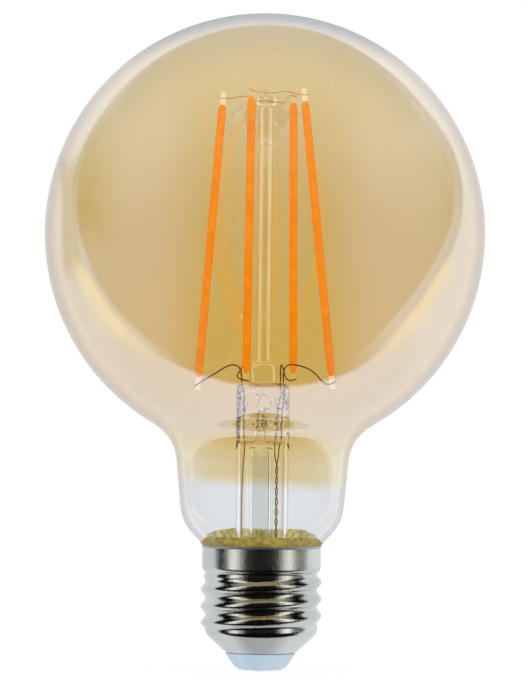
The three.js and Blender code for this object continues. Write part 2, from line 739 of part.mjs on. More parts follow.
const lamp = new THREE.Group().add(
  named("glass_envelope", glassEnvelope(), MATERIALS.amberGlass),
  named("stem_flare", stemFlare(), MATERIALS.clearGlass),
  named("exhaust_tube", exhaustTube(), MATERIALS.clearGlass),
  named("support_column", supportColumn(), MATERIALS.clearGlass),
  named("column_bead", columnBead(), MATERIALS.clearGlass),
  named("anchor_wire_lower", lead(lowerAnchorPath(), ANCHOR_STEPS), MATERIALS.wire),
  named("anchor_wire_upper", lead(upperAnchorPath(), ANCHOR_STEPS), MATERIALS.wire),
  ...FILAMENTS.map(filamentAssembly),
  ...namedAll(innerLeads(), MATERIALS.wire),
  ...namedAll(sealWires(), MATERIALS.copperClad),
  ...namedAll(outerLeads(), MATERIALS.wire),
  named("capping_cement", cappingCement(), MATERIALS.cement),
  named("cap_shell", capShell(), MATERIALS.nickel),
  named("cap_insulator", insulator(), MATERIALS.insulator),
  named("centre_contact", centreContact(), MATERIALS.contact),
  ...driverParts(),
);

export default lamp;
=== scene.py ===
"""The looks of a 95 mm globe lamp: gold-coated blown glass, a clear stem, four filaments and a nickel cap.

Sizes are in millimetres and become metres when a mesh is made. The camera looks along +Y, and +X is to
its right.
"""

import math

import bpy
import numpy as np
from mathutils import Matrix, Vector


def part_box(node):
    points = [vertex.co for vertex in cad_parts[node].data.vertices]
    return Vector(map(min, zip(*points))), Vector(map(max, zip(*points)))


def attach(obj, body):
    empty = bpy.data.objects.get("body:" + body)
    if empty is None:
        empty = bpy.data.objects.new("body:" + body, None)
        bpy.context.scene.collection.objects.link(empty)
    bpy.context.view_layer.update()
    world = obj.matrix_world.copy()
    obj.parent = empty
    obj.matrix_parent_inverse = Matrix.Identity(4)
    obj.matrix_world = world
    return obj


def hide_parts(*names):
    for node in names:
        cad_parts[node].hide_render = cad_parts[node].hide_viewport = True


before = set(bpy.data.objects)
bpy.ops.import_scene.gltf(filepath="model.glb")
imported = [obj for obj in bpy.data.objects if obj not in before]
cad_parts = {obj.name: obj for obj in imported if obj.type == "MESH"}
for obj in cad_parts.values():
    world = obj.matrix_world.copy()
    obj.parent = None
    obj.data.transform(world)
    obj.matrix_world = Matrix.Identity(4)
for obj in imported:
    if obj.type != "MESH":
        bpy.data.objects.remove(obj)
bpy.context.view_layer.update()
MM = 0.001


def box_of(node):
    """A CAD node's lowest and highest corner, in millimetres."""
    low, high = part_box(node)
    return np.array(low) / MM, np.array(high) / MM


# -------------------------------- sizes, from the frame where it holds them

bulb_low, bulb_high = box_of("glass_envelope")
cap_low, cap_high = box_of("cap_shell")
insulator_low, insulator_high = box_of("cap_insulator")
contact_low, contact_high = box_of("centre_contact")
stem_low, stem_high = box_of("stem_flare")
exhaust_low, exhaust_high = box_of("exhaust_tube")
column_low, column_high = box_of("support_column")
bead_low, bead_high = box_of("column_bead")

GLOBE_RADIUS = bulb_high[0]
GLOBE_CENTRE = bulb_high[2] - GLOBE_RADIUS
WALL = 0.9
COLLAR_RADIUS = 11.3
FILLET = 9.2  # concave radius between the globe and the neck
FILLET_END_RADIUS = 18.5
NECK_RADIUS = 17.7
SHOULDER_Z = 35.8  # the neck starts to close at this height, on the way down
SHOULDER_ARC = 9.0
COATING_EDGE = 40.3  # the gold coating ends at this height

THREAD_CREST = cap_high[0]
THREAD_ROOT = 12.05
THREAD_PITCH = 3.629
CREST_Z = 15.5  # height of one crest on the +X side
THREAD_START = 8.6
THREAD_GROWTH = 1.6  # the thread reaches its full depth over this height
THREAD_BLEND = 1.4  # and dies out over this one, below the skirt
SKIRT_Z = 21.0
SKIRT_RADIUS = 12.8
MOUTH_RADIUS = 7.6
SHEET = 0.3


# -------------------------------- meshes

SHARP_EDGE = math.radians(38)
SHARP_EDGE_OF_CUT = math.radians(50)


def arc(centre_radius, centre_z, radius, start, end, steps):
    """Points on an arc in the radius-height plane. Angles are in degrees, from outwards towards +Z."""
    angles = np.radians(np.linspace(start, end, steps + 1))
    return np.stack([centre_radius + radius * np.cos(angles), centre_z + radius * np.sin(angles)], axis=1)


def bezier(start, control, end, steps):
    """Points on a curve with one control point."""
    t = np.linspace(0, 1, steps + 1)[:, None]
    start, control, end = (np.array(p, float) for p in (start, control, end))
    return (1 - t) ** 2 * start + 2 * t * (1 - t) * control + t**2 * end


def resample(profile, spacing):
    """The same polyline with its points evenly spaced."""
    profile = np.array(profile, float)
    lengths = np.r_[0, np.cumsum(np.linalg.norm(np.diff(profile, axis=0), axis=1))]
    stations = np.linspace(0, lengths[-1], max(2, round(lengths[-1] / spacing)) + 1)
    return np.stack([np.interp(stations, lengths, profile[:, k]) for k in (0, 1)], axis=1)


def soften(profile, passes):
    """Rounds the corners of an evenly spaced polyline and keeps its ends."""
    for _ in range(passes):
        profile = profile.copy()
        profile[1:-1] = (profile[:-2] + 2 * profile[1:-1] + profile[2:]) / 4
    return profile


def inset(profile, thickness):
    """The polyline moved inwards, for an outline listed upwards on its outside."""
    along = np.gradient(profile, axis=0)
    along /= np.linalg.norm(along, axis=1, keepdims=True)
    inner = profile + thickness * np.stack([-along[:, 1], along[:, 0]], axis=1)
    inner[:, 0] = np.maximum(inner[:, 0], 0)
    return inner


def smoothstep(x, low, high):
    """Goes smoothly from 0 to 1 as x goes from low to high."""
    t = np.clip((x - low) / (high - low), 0, 1)
    return t * t * (3 - 2 * t)


def unit_circle(segments):
    """Points round a circle, counter-clockwise from +X."""
    angles = np.linspace(0, 2 * math.pi, segments, endpoint=False)
    return np.stack([np.cos(angles), np.sin(angles)], axis=1)


def level_ring(circle, radius, z):
    """A circle of points at one height."""
    return np.column_stack([circle * radius, np.full(len(circle), z)])


def pole(z):
    """A ring of one point, on the axis."""
    return np.array([[0.0, 0.0, z]])


def skin(name, rings, loop=False, bands=None):
    """A mesh over rings of points, each counter-clockwise seen from above. A ring of one point is a pole.

    bands gives each gap between rings the index of its material.
    """
    starts = np.cumsum([0] + [len(ring) for ring in rings])
    vertices = np.concatenate(rings) * MM
    pairs = list(range(len(rings) - 1)) + ([len(rings) - 1] if loop else [])
    faces, owners = [], []
    for pair in pairs:
        after = (pair + 1) % len(rings)
        lower = starts[pair] + np.arange(len(rings[pair]))
        upper = starts[after] + np.arange(len(rings[after]))
        turned_lower, turned_upper = np.roll(lower, -1), np.roll(upper, -1)
        if len(lower) == 1:
            made = [(lower[0], b, a) for a, b in zip(upper, turned_upper)]
        elif len(upper) == 1:
            made = [(a, b, upper[0]) for a, b in zip(lower, turned_lower)]
        else:
            made = list(zip(lower, turned_lower, turned_upper, upper))
        faces += made
        owners += [bands[pair] if bands else 0] * len(made)
    mesh = bpy.data.meshes.new(name)
    mesh.from_pydata(vertices.tolist(), [], [[int(i) for i in face] for face in faces])
    mesh.polygons.foreach_set("material_index", owners)
    mesh.polygons.foreach_set("use_smooth", [True] * len(faces))
    mesh.set_sharp_from_angle(angle=SHARP_EDGE)
    mesh.update()
    piece = bpy.data.objects.new(name, mesh)
    bpy.context.scene.collection.objects.link(piece)
    return piece


def filled(profile, spacing):
    """The same polyline with points added along its long stretches. Its corners are kept."""
    points = [np.array(profile[0], float)]
    for start, end in zip(profile[:-1], profile[1:]):
        start, end = np.array(start, float), np.array(end, float)
        pieces = max(1, math.ceil(np.linalg.norm(end - start) / spacing))
        points += [start + (end - start) * k / pieces for k in range(1, pieces + 1)]
    return np.array(points)


def lathe(name, profile, segments, bands=None, warp=None, centre=(0, 0)):
    """A solid of revolution. Its profile goes up the outside, and ends on the axis or closes itself."""
    circle = unit_circle(segments)
    on_axis = 1e-6
    rings = [pole(z) if radius < on_axis else level_ring(circle, radius, z) for radius, z in profile]
    if warp:
        rings = [warp(ring) for ring in rings]
    rings = [ring + np.array([centre[0], centre[1], 0]) for ring in rings]
    return skin(name, rings, loop=len(rings[0]) > 1, bands=bands)


def finish_piece(piece, node, slot, *materials):
    """Puts a piece on the lamp's one body, in place of a CAD node."""
    for material in materials:
        piece.data.materials.append(material)
    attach(piece, "root")
    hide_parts(node)


def cut_out(piece, cutter):
    """Cuts another object's shape out of a piece, and removes that object."""
    cut = piece.modifiers.new("cut", "BOOLEAN")
    cut.operation = "DIFFERENCE"
    cut.solver = "EXACT"
    cut.object = cutter
    depsgraph = bpy.context.evaluated_depsgraph_get()
    mesh = bpy.data.meshes.new_from_object(piece.evaluated_get(depsgraph), depsgraph=depsgraph)
    piece.modifiers.clear()
    piece.data = mesh
    bpy.data.objects.remove(cutter)


# -------------------------------- shader building

class Nodes:
    """Short names for the nodes of one tree. Each call adds a node and gives its output socket."""

    def __init__(self, tree):
        self.tree = tree
        tree.nodes.clear()

    def put(self, socket, value):
        """Links a socket to another, or sets its value. A colour is given without its fourth number."""
        if isinstance(value, bpy.types.NodeSocket):
            self.tree.links.new(value, socket)
        elif socket.type == "RGBA":
            socket.default_value = (*value, 1)
        else:
            socket.default_value = value

    def add(self, kind, output=0, settings=None, **inputs):
        """Inputs go by number, as i0, or by name, with _ for a space."""
        made = self.tree.nodes.new(kind)
        for key, value in (settings or {}).items():
            setattr(made, key, value)
        for key, value in inputs.items():
            numbered = key[0] == "i" and key[1:].isdigit()
            self.put(made.inputs[int(key[1:]) if numbered else key.replace("_", " ")], value)
        return made.outputs[output]

    def math(self, operation, a, b=0.0):
        return self.add("ShaderNodeMath", settings={"operation": operation}, i0=a, i1=b)

    def product(self, a, b):
        return self.math("MULTIPLY", a, b)

    def total(self, a, b):
        return self.math("ADD", a, b)

    def larger(self, a, b):
        return self.math("MAXIMUM", a, b)

    def absolute(self, a):
        return self.math("ABSOLUTE", a)

    def grey(self, value):
        return self.add("ShaderNodeCombineColor", i0=value, i1=value, i2=value)

    def dot(self, vector, direction):
        settings = {"operation": "DOT_PRODUCT"}
        return self.add("ShaderNodeVectorMath", "Value", settings, i0=vector, i1=direction)

    def place(self):
        """Where a point is, in the lamp's own axes."""
        return self.add("ShaderNodeTexCoord", "Object")

    def height(self):
        return self.split(self.place())[2]

    def facing(self):
        """0 where the surface faces the eye, and 1 where it is seen edge on."""
        return self.add("ShaderNodeLayerWeight", "Facing", Blend=0.5)

    def step(self, x, low, high, start=0.0, end=1.0):
        """Goes smoothly from start to end as x goes from low to high."""
        if isinstance(low, (int, float)) and low > high:
            low, high, start, end = high, low, end, start
        settings = {"interpolation_type": "SMOOTHSTEP", "clamp": True}
        return self.add("ShaderNodeMapRange", 0, settings, i0=x, i1=low, i2=high, i3=start, i4=end)

    def blend(self, share, a, b, how="MIX"):
        """A colour between a and b, or a and b combined as how says."""
        settings = {"data_type": "RGBA", "blend_type": how}
        return self.add("ShaderNodeMix", 2, settings, i0=share, i6=a, i7=b)

    def noise(self, scale, detail=2.0, where=None):
        return self.add("ShaderNodeTexNoise", Vector=where or self.place(), Scale=scale, Detail=detail)

    def bump(self, height, strength, distance):
        return self.add("ShaderNodeBump", Height=height, Strength=strength, Distance=distance)

    def split(self, vector):
        return self.add("ShaderNodeSeparateXYZ", i0=vector).node.outputs

    def result(self, shader, kind="ShaderNodeOutputMaterial"):
        self.put(self.tree.nodes.new(kind).inputs["Surface"], shader)


def new_material(name):
    material = bpy.data.materials.new(name)
    material.use_nodes = True
    return material, Nodes(material.node_tree)


def principled(name, colour, roughness, bump=None, **inputs):
    """A plain surface. An input that is a function of the nodes varies over the surface."""
    material, nodes = new_material(name)
    inputs |= {"Base_Color": colour, "Roughness": roughness}
    if bump:
        inputs["Normal"] = bump
    values = {key: value(nodes) if callable(value) else value for key, value in inputs.items()}
    nodes.result(nodes.add("ShaderNodeBsdfPrincipled", **values))
    return material


def mottled(light, dark, scale, detail=3.0, low=0.35, high=0.65):
    """A colour that wanders between two, in patches."""
    def colour(nodes):
        return nodes.blend(nodes.step(nodes.noise(scale, detail), low, high), dark, light)
    return colour


def varied(low, high, scale):
    """A number that wanders between two."""
    def value(nodes):
        return nodes.step(nodes.noise(scale, 4.0), 0.3, 0.7, low, high)
    return value


def grain(scale, strength, depth):
    """Fine unevenness."""
    def uneven(nodes):
        return nodes.bump(nodes.noise(scale, 4.0), strength, depth)
    return uneven


# -------------------------------- glass materials

GLASS_IOR = 1.5
BEAD_BEND = 1.08  # the bead bends light less than real glass does, and its outline is painted
CLEAR = (0.915, 0.93, 0.95)
NOTHING = (0.0, 0.0, 0.0)
WHITE = (1.0, 1.0, 1.0)

# What one coated wall lets through, seen square on or slanted.
GOLD_LOW = (0.81, 0.618, 0.25)  # low on the globe, where the coating is thick
GOLD_MIDDLE = (0.795, 0.63, 0.33)
GOLD_SLANTED = (0.815, 0.685, 0.405)
GOLD_CROWN = (0.87, 0.755, 0.54)
GOLD_NECK = (0.865, 0.78, 0.575)  # where it gives out
GOLD_NECK_SLANTED = (0.97, 0.935, 0.87)

# What the coating mirrors.
MIRROR = (0.115, 0.195, 0.355)
MIRROR_NECK = (0.03, 0.055, 0.10)

# The stem is uneven between these heights, where it was squeezed.
PRESSED_LOW = 50.5
PRESSED_HIGH = 62.0

# Painted shade: what the painted dark outlines of clear glass let through; and the painted glow on the
# folds of the squeezed glass.
PAINTED_EDGE_SHADE = (0.74, 0.60, 0.44)
PAINTED_TUBE_EDGE_SHADE = (0.74, 0.71, 0.66)
PAINTED_FOLD_GLOW = (0.14, 0.085, 0.0)


def coating(nodes, tint):
    """What the gold coating lets through and mirrors. It's thin at the crown and fades on the neck."""
    x, _, z = nodes.split(nodes.place())
    wander = nodes.product(nodes.math("SUBTRACT", nodes.noise(45.0), 0.5), 3.0 * MM)
    edge = nodes.total(nodes.total(z, nodes.product(x, 0.06)), wander)
    there = nodes.step(edge, (COATING_EDGE - 1.8) * MM, (COATING_EDGE + 1.8) * MM)
    facing = nodes.facing()
    middle = nodes.step(z, (GLOBE_CENTRE - 28) * MM, (GLOBE_CENTRE - 2) * MM)
    crown = nodes.step(z, (GLOBE_CENTRE - 5) * MM, (GLOBE_CENTRE + 46) * MM)
    slanted = nodes.step(facing, 0.15, 0.5)
    fading = nodes.step(z, (COATING_EDGE + 16) * MM, (COATING_EDGE + 5) * MM)
    neck = nodes.step(z, (COATING_EDGE + 15.5) * MM, (COATING_EDGE + 3) * MM)
    neck = nodes.larger(neck, nodes.product(fading, slanted))
    gold = nodes.blend(middle, GOLD_LOW, GOLD_MIDDLE)
    gold = nodes.blend(nodes.step(facing, 0.05, 0.6), gold, GOLD_SLANTED)
    gold = nodes.blend(crown, gold, GOLD_CROWN)
    gold = nodes.blend(neck, gold, nodes.blend(slanted, GOLD_NECK, GOLD_NECK_SLANTED))
    mirror = nodes.blend(fading, MIRROR, MIRROR_NECK)
    return nodes.blend(there, tint, gold), nodes.blend(there, NOTHING, mirror)


def press_marks(nodes):
    """Where the stem was squeezed, and the bumps that this left in it."""
    place = nodes.place()
    height = nodes.split(place)[2]
    begun = nodes.step(height, PRESSED_LOW * MM, (PRESSED_LOW + 4) * MM)
    pressed = nodes.product(begun, nodes.step(height, PRESSED_HIGH * MM, (PRESSED_HIGH - 1) * MM))
    settings = {"operation": "MULTIPLY"}
    flattened = nodes.add("ShaderNodeVectorMath", 0, settings, i0=place, i1=(1.0, 1.0, 1.9))
    folds = nodes.product(nodes.noise(270.0, where=flattened), pressed)
    return pressed, nodes.bump(folds, 1.0, 2.2 * MM)


def glass(name, coated=False, tint=WHITE, gloss=(1.0, 1.0), bend=GLASS_IOR, squeezed=False, outline=None,
          painted_streak=None):
    """Clear glass, and on a coated face the gold interference coating.

    gloss is how much it mirrors where it is seen square on and at a glance. squeezed glass is uneven from
    the press and gets a painted warm glow in its outlines. outline gives the turns away from the eye over
    which painted shade darkens it, and streak is the colour of the painted highlight, a pale line beside
    that outline.
    """
    material, nodes = new_material(name)
    fresnel = nodes.add("ShaderNodeFresnel", IOR=GLASS_IOR)
    through, mirror = coating(nodes, tint) if coated else (tint, NOTHING)
    square_on, at_a_glance = gloss
    sheen = nodes.blend(nodes.step(fresnel, 0.06, 0.25), (square_on,) * 3, (at_a_glance,) * 3)
    shape = {}
    if squeezed:
        pressed, uneven = press_marks(nodes)
        shape = {"Normal": uneven}
    # Painted shade: the glass lets less through where it turns away from the eye.
    if outline:
        low, high = outline
        turned = nodes.add("ShaderNodeLayerWeight", "Facing", Blend=0.5, **shape)
        edge = nodes.step(turned, low, high)
        painted_edge_shade = nodes.blend(pressed, PAINTED_TUBE_EDGE_SHADE, PAINTED_EDGE_SHADE) if squeezed else PAINTED_EDGE_SHADE
        through = nodes.blend(edge, through, painted_edge_shade)
    passed = nodes.blend(nodes.math("SUBTRACT", 1.0, fresnel), NOTHING, through)
    mirrored = nodes.blend(fresnel, mirror, sheen)
    refraction = nodes.add("ShaderNodeBsdfRefraction", Color=passed, Roughness=0.0, IOR=bend, **shape)
    reflection = nodes.add("ShaderNodeBsdfAnisotropic", Color=mirrored, Roughness=0.0, **shape)
    shader = nodes.add("ShaderNodeAddShader", i0=refraction, i1=reflection)
    # A painted highlight: a pale glowing line beside the painted dark outline.
    if outline:
        line = nodes.step(turned, low * 0.45, low * 0.8)
        line = nodes.product(line, nodes.step(turned, low * 1.5, low * 1.1))
        painted_glint = nodes.add("ShaderNodeEmission", Color=painted_streak, Strength=line)
        shader = nodes.add("ShaderNodeAddShader", i0=shader, i1=painted_glint)
    # A painted warm glow over the dark outlines in the squeezed part.
    if squeezed:
        painted_warmth = nodes.add("ShaderNodeEmission", Color=PAINTED_FOLD_GLOW, Strength=nodes.product(edge, pressed))
        shader = nodes.add("ShaderNodeAddShader", i0=shader, i1=painted_warmth)
    nodes.result(shader)
    return material


coated_glass = glass("gold_coated_glass", coated=True, tint=CLEAR, gloss=(1.0, 0.8))
inner_glass = glass("bulb_inside_glass", gloss=(0.12, 0.8))
stem_glass = glass("stem_glass", tint=(0.985, 0.99, 0.99))
# The column, the bead and the squeezed glass get painted dark outlines and painted highlight lines.
column_glass = glass(
    "column_glass",
    tint=(0.985, 0.99, 0.99),
    outline=(0.4, 0.9),
    painted_streak=(0.21, 0.25, 0.28),
)
bead_glass = glass("bead_glass", bend=BEAD_BEND, outline=(0.5, 0.85), painted_streak=(0.10, 0.10, 0.10))
pinch_glass = glass(
    "pinched_glass",
    tint=(0.98, 0.98, 0.97),
    squeezed=True,
    outline=(0.24, 0.6),
    painted_streak=(0.09, 0.08, 0.05),
)


# -------------------------------- other materials

def satin_on_the_skirt(nodes):
    """The pressed thread is bright, the plain skirt above it is satin and the rolled lip is dull."""
    height = nodes.height()
    skirt = nodes.step(height, (SKIRT_Z + 0.2) * MM, (SKIRT_Z + 1.2) * MM, 0.07, 0.2)
    lip = nodes.step(height, (cap_high[2] - 0.2) * MM, (cap_high[2] - 0.05) * MM, 0.0, 0.4)
    patches = nodes.step(nodes.noise(700.0, 4.0), 0.3, 0.7, 0.0, 0.06)
    return nodes.total(nodes.total(skirt, lip), patches)


def painted_wire_glow(nodes):
    """Painted glow on the leads: faint all along, and stronger where it paints in the globe's pale
    reflection crossing them, or they would look blue.
    """
    height = nodes.height()
    crossed = nodes.product(nodes.step(height, 46 * MM, 56 * MM), nodes.step(height, 63 * MM, 61 * MM))
    return nodes.step(crossed, 0.0, 1.0, 0.07, 0.22)


def cement_painted_glow(nodes):
    """Painted light on the smear that climbs the glass: faint at the front and strong behind the glass,
    where it stands in for light reaching it through the glass, so it shows brighter than the bead outside.
    """
    _, y, z = nodes.split(nodes.place())
    climbing = nodes.step(z, (cap_high[2] + 0.4) * MM, (cap_high[2] + 1.4) * MM)
    return nodes.product(climbing, nodes.step(y, -2 * MM, 5 * MM, 0.09, 1.15))


nickel_plate = principled(
    "nickel_plate",
    mottled((0.75, 0.76, 0.73), (0.65, 0.66, 0.63), 90.0),
    satin_on_the_skirt,
    bump=grain(2300.0, 0.6, 0.06 * MM),
    Metallic=1.0,
)
nickel_wire = principled(
    "nickel_wire",
    mottled((0.13, 0.10, 0.065), (0.05, 0.035, 0.022), 700.0),
    varied(0.28, 0.45, 1500.0),
    bump=grain(9000.0, 0.2, 0.02 * MM),
    Metallic=1.0,
    # The leads get a painted glow, which stands in for light they mirror.
    Emission_Color=(1.0, 0.62, 0.25),
    Emission_Strength=painted_wire_glow,
)
# The anchor wires are light metal with a painted glow, so they show pale in the glass.
painted_glow_wire = principled(
    "painted_glow_wire",
    mottled((0.80, 0.66, 0.48), (0.42, 0.32, 0.2), 700.0),
    varied(0.28, 0.45, 1500.0),
    bump=grain(9000.0, 0.2, 0.02 * MM),
    Metallic=1.0,
    Emission_Color=(1.0, 0.8, 0.45),
    Emission_Strength=0.22,
)
copper_clad = principled(
    "copper_clad",
    mottled((0.36, 0.20, 0.12), (0.15, 0.08, 0.05), 700.0),
    varied(0.3, 0.5, 1500.0),
    Metallic=0.9,
)
# The tabs carry a painted glow, so they stay white.
tab_metal = principled(
    "tab_metal",
    mottled((0.98, 0.97, 0.93), (0.9, 0.88, 0.82), 900.0),
    varied(0.25, 0.4, 1200.0),
    bump=grain(4000.0, 0.15, 0.02 * MM),
    Emission_Color=(1.0, 0.98, 0.92),
    Emission_Strength=0.6,
)
# A shaded copy of the tab metal, darker and with less painted glow: painted shade for the front and back
# filaments' tabs.
painted_shade_tab_metal = principled(
    "painted_shade_tab_metal",
    mottled((0.95, 0.86, 0.62), (0.85, 0.75, 0.5), 900.0),
    varied(0.35, 0.5, 1200.0),
    bump=grain(4000.0, 0.15, 0.02 * MM),
    Emission_Color=(1.0, 0.92, 0.68),
    Emission_Strength=0.42,
)
ceramic_strip = principled(
    "ceramic_strip",
    mottled((0.9, 0.88, 0.82), (0.82, 0.8, 0.74), 800.0),
    0.5,
    bump=grain(5000.0, 0.2, 0.01 * MM),
)
insulator_plastic = principled(
    "insulator_plastic",
    mottled((0.59, 0.71, 0.83), (0.54, 0.66, 0.79), 160.0),
    varied(0.28, 0.4, 400.0),
    bump=grain(2600.0, 0.08, 0.03 * MM),
    Subsurface_Weight=0.15,
    Subsurface_Radius=(0.6 * MM, 0.8 * MM, 1.0 * MM),
)
# The contact has a painted glow, which lightens its shaded underside.
contact_metal = principled(
    "contact_metal",
    mottled((0.80, 0.85, 0.90), (0.68, 0.73, 0.79), 500.0),
    varied(0.35, 0.5, 900.0),
    bump=grain(3000.0, 0.2, 0.03 * MM),
    Metallic=0.3,
    Emission_Color=(0.75, 0.85, 0.95),
    Emission_Strength=0.25,
)
cement_olive = principled(
    "cement_olive",
    mottled((0.42, 0.31, 0.035), (0.23, 0.16, 0.018), 800.0, detail=7.0, low=0.36, high=0.62),
    varied(0.35, 0.6, 300.0),
    bump=grain(900.0, 0.5, 0.12 * MM),
    # Painted light: emission brightens the smear that climbs up behind the glass.
    Emission_Color=mottled((0.60, 0.52, 0.17), (0.26, 0.22, 0.06), 750.0, detail=6.0),
    Emission_Strength=cement_painted_glow,
)


def phosphor():
    """Translucent orange silicone with a painted glow, and painted shade towards its edges, so it looks a
    little brighter along its middle.
    """
    material, nodes = new_material("phosphor")
    patches = nodes.step(nodes.noise(420.0, 3.0), 0.3, 0.7)
    # Painted shade: the colour darkens where the rod turns away from the eye.
    rim = nodes.step(nodes.facing(), 0.15, 0.7)
    body = nodes.blend(patches, (0.88, 0.31, 0.008), (0.95, 0.38, 0.02))
    colour = nodes.blend(rim, body, (0.84, 0.27, 0.012))
    shader = nodes.add(
        "ShaderNodeBsdfPrincipled",
        Base_Color=colour,
        Roughness=0.45,
        Subsurface_Weight=0.3,
        Subsurface_Radius=(0.8 * MM, 0.4 * MM, 0.1 * MM),
        # A painted glow: the filament is unlit, and this emission stands in for light on it.
        Emission_Color=colour,
        Emission_Strength=0.7,
        Coat_Weight=0.2,
        Coat_Roughness=0.3,
        Normal=nodes.bump(nodes.noise(1600.0, 3.0), 0.15, 0.05 * MM),
    )
    nodes.result(shader)
    return material


phosphor_orange = phosphor()


# -------------------------------- the blown bulb

def bulb_outline():
    """The outside of the glass from the collar's lower edge to the crown."""
    fillet_radius = FILLET_END_RADIUS + FILLET
    drop = math.sqrt((GLOBE_RADIUS + FILLET) ** 2 - fillet_radius**2)
    touch = math.degrees(math.atan2(drop, fillet_radius))
    shoulder = arc(NECK_RADIUS - SHOULDER_ARC, SHOULDER_Z, SHOULDER_ARC, -45, 0, 12)
    collar_top = shoulder[0][1] - (shoulder[0][0] - COLLAR_RADIUS)
    corners = [
        [[COLLAR_RADIUS, bulb_low[2]], [COLLAR_RADIUS, collar_top]],
        shoulder,
        arc(fillet_radius, GLOBE_CENTRE - drop, FILLET, 180, 180 - touch, 20),
        arc(0, GLOBE_CENTRE, GLOBE_RADIUS, -touch, 90, 120),
    ]
    outline = soften(resample(np.concatenate(corners), 0.7), 8)
    outline[-1] = (0, GLOBE_CENTRE + GLOBE_RADIUS)
    return outline


def glass_bulb():
    outside = bulb_outline()
    inside = inset(outside, WALL)
    inside[-1] = (0, outside[-1][1] - WALL)
    profile = np.concatenate([inside[::-1], outside])
    inner_bands = len(inside) - 1
    bands = [1] * (inner_bands + 1) + [0] * (len(outside) - 1)
    piece = lathe("glass_bulb", profile, 160, bands=bands)
    finish_piece(piece, "glass_envelope", "coated_glass", coated_glass, inner_glass)


# -------------------------------- the glass stem

FLARE_RADIUS = 5.75
FLARE_TUBE_Z = 27.6  # the flare's horn becomes a straight tube at this height
FLARE_WALL = 0.9
SQUEEZE_Z = 45.2  # the tube starts to narrow
PINCH_Z = 50.3  # and is solid from here
PINCH_TOP = stem_high[2]
PINCH_HALF_DEPTH = 2.75
PINCH_ROUNDING = 1.6
EXHAUST_X = (exhaust_high[0] + exhaust_low[0]) / 2
EXHAUST_RADIUS = (exhaust_high[0] - exhaust_low[0]) / 2
STEM_SEGMENTS = 96


def stem_section(z):
    """Half width, half depth and squareness of the stem's outside at a height above the flare."""
    squeezed = smoothstep(z, SQUEEZE_Z, PINCH_Z)
    into_rounding = max(0.0, (z - (PINCH_TOP - PINCH_ROUNDING)) / PINCH_ROUNDING)
    shrink = 0.72 + 0.28 * math.sqrt(max(0.0, 1 - into_rounding**2))
    bulge = 0.25 * math.exp(-(((z - 58) / 2.2) ** 2))
    waist = 0.2 * math.exp(-(((z - 53.4) / 1.6) ** 2))
    half_width = (FLARE_RADIUS + 0.05 * squeezed) * shrink
    pinch_depth = PINCH_HALF_DEPTH + bulge - waist
    half_depth = (FLARE_RADIUS * (1 - squeezed) + pinch_depth * squeezed) * shrink
    return half_width, half_depth, 2 + 1.2 * squeezed


def stem_ring(z, wall=0.0):
    """A ring of the stem, or with a wall, of the space inside it."""
    half_width, half_depth, squareness = stem_section(z)
    cosine, sine = unit_circle(STEM_SEGMENTS).T
    power = 2 / squareness
    narrowest = 0.4
    x = (half_width - wall) * np.sign(cosine) * np.abs(cosine) ** power
    y = max(half_depth - wall, narrowest) * np.sign(sine) * np.abs(sine) ** power
    return np.column_stack([x, y, np.full(STEM_SEGMENTS, z)])


def stem_flare():
    """The flare tube and its squeezed top, with the blow hole cut into the front."""
    low = stem_low[2]
    flare_rim = stem_high[0]
    horn_angles = np.radians(np.linspace(90, 0, 17))
    horn_radius = flare_rim - (flare_rim - FLARE_RADIUS) * np.cos(horn_angles)
    horn_z = FLARE_TUBE_Z - (FLARE_TUBE_Z - low) * np.sin(horn_angles)
    horn = np.stack([horn_radius, horn_z], axis=1)
    circle = unit_circle(STEM_SEGMENTS)
    straight = np.linspace(FLARE_TUBE_Z + 1, SQUEEZE_Z, 14)
    narrowing = np.linspace(SQUEEZE_Z + 0.4, PINCH_TOP, 40)
    tube_heights = np.r_[straight, narrowing]
    outside = [level_ring(circle, r, z) for r, z in horn] + [stem_ring(z) for z in tube_heights]
    outside.append(pole(PINCH_TOP + 0.02))
    dome_z = PINCH_Z - 0.6
    inside = [level_ring(circle, r, z) for r, z in inset(horn, FLARE_WALL)]
    inside += [stem_ring(z, FLARE_WALL) for z in tube_heights if z < dome_z]
    for share, z in ((0.8, PINCH_Z - 0.35), (0.4, PINCH_Z - 0.1)):
        inside.append(stem_ring(dome_z, FLARE_WALL) * (share, share, 0) + (0, 0, z))
    inside.append(pole(PINCH_Z))
    piece = skin("stem_flare_glass", inside[::-1] + outside)
    hole, channel = blow_hole(), blow_channel()
    cut_out(piece, hole)
    cut_out(piece, channel)
    piece.data.set_sharp_from_angle(angle=SHARP_EDGE_OF_CUT)
    finish_piece(piece, "stem_flare", "stem_glass", pinch_glass)


def blow_hole():
    """The pocket that air blown through the stem leaves in the squeezed glass, open to the front."""
    middle_x, middle_z = 0.25, 57.75
    half_width, half_height = 1.75, 1.85
    front, back = -4.2, 0.9
    rounds_from = -0.9  # the pocket gets narrower from here to its back
    angles = np.linspace(0, 2 * math.pi, 48, endpoint=False)
    rings = [np.array([[middle_x, back + 0.35, middle_z]])]
    for depth in np.linspace(front, back, 22)[::-1]:
        closing = math.sqrt(max(0.05, 1 - max(0.0, (depth - rounds_from) / 1.9) ** 2))
        width = half_width * closing * (1 + 0.05 * math.sin(depth * 3.0))
        lobed = 1 + 0.10 * np.cos(3 * angles + 0.9) + 0.03 * np.sin(7 * angles + depth)
        x = middle_x + width * np.cos(angles) * lobed
        z = middle_z + half_height * closing * np.sin(angles) * lobed
        rings.append(np.column_stack([x, np.full(len(angles), depth), z]))
    rings.append(np.array([[middle_x, front - 0.1, middle_z]]))
    return skin("blow_hole", rings)


